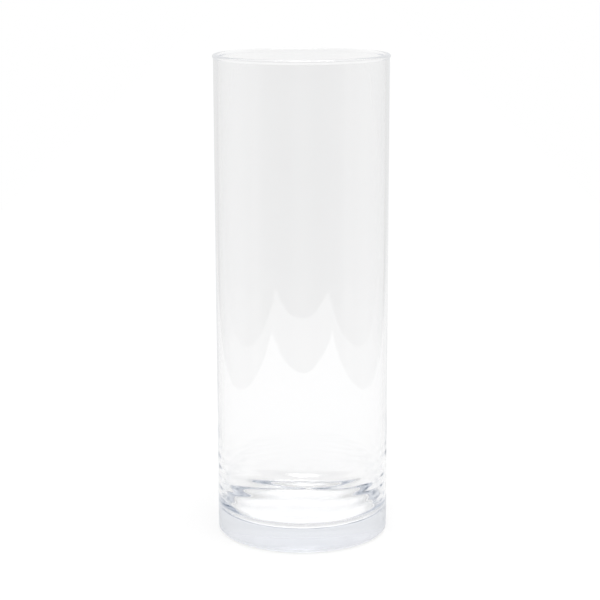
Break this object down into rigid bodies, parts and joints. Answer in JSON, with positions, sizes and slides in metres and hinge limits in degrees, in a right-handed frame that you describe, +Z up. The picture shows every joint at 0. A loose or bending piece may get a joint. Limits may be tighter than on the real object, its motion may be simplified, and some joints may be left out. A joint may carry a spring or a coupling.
{
  "type": "glass cylinder vase",
  "caption": "Tall straight-sided clear glass cylinder vase with a heavy base, rounded inner corner and fire-polished lip, for cut flowers.",
  "frame": {"origin": "centre of the foot ring, on the surface the vase stands on", "axes": "+Z up along the axis of the cylinder, out of the mouth; the vase is round, so X and Y are free"},
  "size_m": [0.1012, 0.1012, 0.28],
  "materials": {
    "clear_glass": "polished clear glass, faintly blue in the heavy base"
  },
  "bodies": {
    "root": {"vase_body": "clear_glass"}
  },
  "joints": []
}
